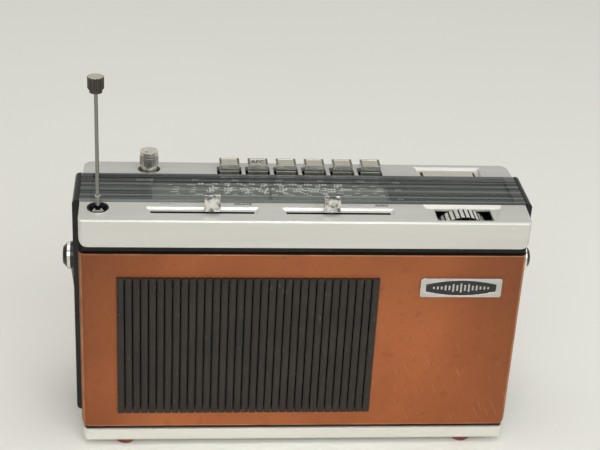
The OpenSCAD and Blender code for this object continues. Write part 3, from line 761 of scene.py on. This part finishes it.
# %% Handle parts
bow_lacquer = finish("black_lacquer", "18181a", "101012", size=55, rough=(0.18, 0.32),
                     grain=700, depth=0.01)
rounded_part("handle_bow", 0.35, bow_lacquer)
rounded_part("handle_grip", 1.6, grip_leather, steps=4)
rounded_part("pivot_rings", 0.08, chrome, sharp=25)
rounded_part("pivot_screws", 0.1, raw_steel)
rounded_part("pivot_caps", 0.7, rail_black, steps=4, sharp=20)
bow_low, bow_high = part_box("handle_bow")
print("handle is", round((bow_high.x - bow_low.x) / MM, 1), "mm wide")

# %% [markdown]
# ## Printed words and scale
#
# Words on a real deck are printed in ink a few hundredths of a millimetre thick. Blender's text
# objects do the same with a tiny extrusion, laid flat just proud of the surface. Only plain
# function words and plain scale numbers are used here.

# %% Words
SIZE_OF_CAPITALS = 1.38
INK_THICKNESS = 0.015 * MM


def words(name, text, place, height, ink, body="case", tilt=0.0, spacing=1.0,
          stretch=1.0, bold=0.05):
    """Flat printed text, its middle at a place, height in mm, tilted about X in degrees."""
    curve = bpy.data.curves.new(name, "FONT")
    curve.body = text
    curve.size = height * MM * SIZE_OF_CAPITALS
    curve.extrude = INK_THICKNESS
    curve.align_x = "CENTER"
    curve.align_y = "CENTER"
    curve.space_character = spacing
    curve.offset = height * MM * bold
    curve.resolution_u = 4
    curve.materials.append(ink)
    piece = bpy.data.objects.new(name, curve)
    bpy.context.scene.collection.objects.link(piece)
    piece.matrix_world = (Matrix.Translation(place) @ Matrix.Rotation(math.radians(tilt), 4, "X")
                          @ Matrix.Diagonal((stretch, 1, 1, 1)))
    bpy.context.view_layer.update()
    return dress(piece, body)


DECK_FALL = 1.45 / 19.83
DECK_BACK_Y, DECK_BACK_Z = -19, 162.5
INK_GAP = 0.02
SLOPE = math.degrees(math.atan(DECK_FALL))


def on_deck(x, y):
    """A point just above the sloping front deck."""
    return at(x, y, DECK_BACK_Z - (DECK_BACK_Y - y) * DECK_FALL + INK_GAP)


words("word_bass", "GRAVE", on_deck(-37.9, -20.7), 2.0, ink_black, tilt=SLOPE, spacing=1.1,
      stretch=1.15)
words("word_treble", "AIGU", on_deck(45.7, -20.9), 2.0, ink_black, tilt=SLOPE, spacing=1.1,
      stretch=1.15)
ON_MASK = MASK_TOP + 0.03
words("word_volume", "VOLUME", at(-96.7, 13.4, ON_MASK), 2.6, ink_white, spacing=1.1,
      stretch=0.72, bold=0.08)
FIELD_SINK = 0.28 * MM
key_low, key_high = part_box("key_2")
key_middle = (key_low + key_high) / 2
words("word_afc", "AFC", Vector((key_middle.x, key_middle.y, key_high.z - FIELD_SINK)), 4.3,
      ink_black, "key_2", stretch=0.8, bold=0.03)

# %% [markdown]
# ## Scale lines on the decks and the card
#
# Thin lines beside each slider show the way it turns the tone up. The dial card carries rows of
# plain frequency numbers with short rules between them, in an ink that glows: painted light, since
# no lamp shines on the card. Many small rules go into one mesh, since they are printed on one sheet
# and never move apart.

# %% Rules and numbers
RULE_FRONT, RULE_BACK = -20.75, -20.55
rules = bmesh.new()
for x0, x1 in ((-87, -80), (-79, -77.8), (-49.5, -47), (-46, -43.8), (5, 7.5), (24, 33),
               (34.2, 35), (38.5, 39.3)):
    low, high = on_deck(x0, RULE_FRONT), on_deck(x1, RULE_BACK)
    add_box(rules, Vector((low.x, low.y, low.z - 0.03 * MM)),
            Vector((high.x, high.y, high.z + 0.01 * MM)))
dress(new_piece("deck_rules", rules, [ink_black], smooth=False), "case")

card_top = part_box("dial_scale")[1].z + INK_GAP * MM
# Painted light: the ink glows, though no lamp lights the card.
dial_ink = finish("dial_ink_painted_glow", "f6f7f2", "e9eae4", size=400, rough=(0.5, 0.7), grain=1500,
                  depth=0.005, Emission_Color=paint("e8eae2"), Emission_Strength=1.0)
ROWS = ((15.2, "88    90   92   94   96   98   100   102   104   106   108", 1.9),
        (12.0, "6      7       9      11      13      15      17      18", 1.9),
        (8.8, "520   560   600  700  800  900  1000  1200  1400  1600", 1.9),
        (5.6, "150    170    190    210    230    250    265    285", 1.9),
        (2.4, "49       41       31       25       19       16", 1.8))
for number, (y, text, height) in enumerate(ROWS):
    place = at(-16 + 3 * (number % 3 - 1), y, 0)
    words("dial_row_%d" % (number + 1), text, Vector((place.x, place.y, card_top)), height,
          dial_ink, spacing=1.42, bold=0.1)
dashes = bmesh.new()
for row, (y, text, height) in enumerate(ROWS):
    for step in range(12):
        x = -82 + step * 11.4 + (row * 3.7) % 5
        long = 2.0 + (step * 7 + row * 5) % 4
        low, high = at(x, y - 2.0, 0), at(x + long, y - 1.35, 0)
        add_box(dashes, Vector((low.x, low.y, card_top - 0.01 * MM)),
                Vector((high.x, high.y, card_top + 0.02 * MM)))
dress(new_piece("dial_dashes", dashes, [dial_ink], smooth=False), "case")
for number, (x, text) in enumerate(((-66, "FM"), (-41, "SW"), (-14, "MW"), (12, "LW"),
                                    (37, "MHz"))):
    words("band_word_%d" % (number + 1), text, at(x, 13.8, ON_MASK), 1.9, ink_white, bold=0.09)
for number, (y, text) in enumerate(((12.4, "MHz"), (2.0, "kHz"), (-10.2, "kHz"))):
    words("unit_word_%d" % (number + 1), text, at(59, y, ON_MASK), 1.7, ink_white, bold=0.09)
print("printed", len(ROWS), "rows of numbers")

# %% [markdown]
# ## Parts inside the case
#
# Nobody sees these with the covers on, but the radio is also shown opened up. Each keeps its solid
# model shape and gets a finish that suits what it is made of, except the tone controls, which are
# painted near black as the shade seen through the slider slots.

# %% Inner parts
# The tone controls take the slot's painted shade, so the slots above them look dark.
INSIDE = {"rear_cover": case_black, "grille_cloth": cloth, "speaker_baffle": board,
          "speaker_basket": steel, "speaker_cone": paper, "speaker_magnet": magnet,
          "chassis_plate": steel, "key_bank": works, "light_switch": works,
          "tone_controls": slot_shade_black, "volume_control": works, "wheel_bracket": steel,
          "tuning_drum": cream, "tuning_capacitor": part_mix, "ferrite_rod": ferrite,
          "aerial_coils": coil_wire, "circuit_board": pcb, "board_parts": part_mix,
          "battery_holder": case_black, "batteries": battery_wrap}
for node, material in INSIDE.items():
    for slot in frame["nodes"][node].material_slots:
        slot.material = material
print(len(INSIDE), "inner parts finished")

# %% [markdown]
# ## Floor, light and camera
#
# The radio stands on a plain pale floor under soft light. A broad panel on the viewer's side
# lights the front, and another overhead lights the decks and the floor. A small narrow panel
# brightens the floor just in front, which throws light back up into the tray and the lower
# leather. The room glows softly all round, most strongly on the viewer's side, and a little warmer
# on the left than on the right.

# %% Floor
floor_paint = finish("pale_floor", "e9e8e2", "e4e3dd", size=1.2, rough=(0.5, 0.62), grain=60,
                     depth=0.02, Specular_IOR_Level=0.25)
floor = bmesh.new()
bmesh.ops.create_grid(floor, x_segments=8, y_segments=8, size=4.0)
floor_piece = new_piece("floor", floor, [floor_paint])

# %% Lights
def panel(name, place, aim, width, height, power, warmth=(1, 1, 1)):
    """A soft light panel that faces a point."""
    lamp = bpy.data.lights.new(name, "AREA")
    lamp.shape = "RECTANGLE"
    lamp.size, lamp.size_y = width, height
    lamp.energy = power
    lamp.color = warmth
    piece = bpy.data.objects.new(name, lamp)
    bpy.context.scene.collection.objects.link(piece)
    direction = Vector(aim) - Vector(place)
    piece.matrix_world = (Matrix.Translation(place)
                          @ direction.to_track_quat("-Z", "Y").to_matrix().to_4x4())
    return piece


panel("front_panel", (0.15, -1.35, 1.15), (0, -0.1, 0.05), 1.8, 1.0, 14, (1.0, 0.995, 0.97))
pool = panel("table_panel", (-0.01, -0.17, 0.8), (-0.01, -0.17, 0), 0.2, 0.1, 0.085)
pool.data.spread = math.radians(26)
panel("top_panel", (0.2, 0.1, 2.2), (0, 0, 0.1), 1.8, 1.8, 14, (1.0, 1.0, 0.99))

world = bpy.data.worlds.new("soft_room")
bpy.context.scene.world = world
world.use_nodes = True
sky = world.node_tree
view = add(sky, "TexCoord").outputs["Generated"]
parts = add(sky, "SeparateXYZ", {0: view})
front = spread(sky, parts.outputs[1], 1.0, -1.0, 0.62, 1.0)
level = spread(sky, parts.outputs[2], -0.1, 1.0, 1.0, 0.7)
glow = times(sky, front, level)
tint = blend_colours(sky, spread(sky, parts.outputs[0], -0.7, 0.7), (0.95, 0.92, 0.87, 1),
                     (0.92, 0.94, 0.93, 1))
sky.links.new(blend_colours(sky, glow, (0, 0, 0, 1), tint),
              sky.nodes["Background"].inputs["Color"])
sky.nodes["Background"].inputs["Strength"].default_value = 0.9

# %% Camera
bpy.context.scene.view_settings.view_transform = "Standard"
lens = bpy.data.cameras.new("camera")
lens.lens, lens.sensor_width = 85.1, 36
lens.clip_start = 0.02
camera = bpy.data.objects.new("camera", lens)
bpy.context.scene.collection.objects.link(camera)
EYE = (-0.0843, -0.78254, 0.5451)
forward, up = Vector((0.0951, 0.8811, -0.4632)), Vector((-0.0068, 0.4659, 0.8848))
side = forward.cross(up).normalized()
up = side.cross(forward).normalized()
turn = Matrix((side, up, -forward.normalized())).transposed().to_4x4()
camera.matrix_world = Matrix.Translation(EYE) @ turn
bpy.context.scene.camera = camera
looks_down = math.degrees(math.asin(-forward.normalized().z))
print("camera looks down by", round(looks_down, 1), "degrees")
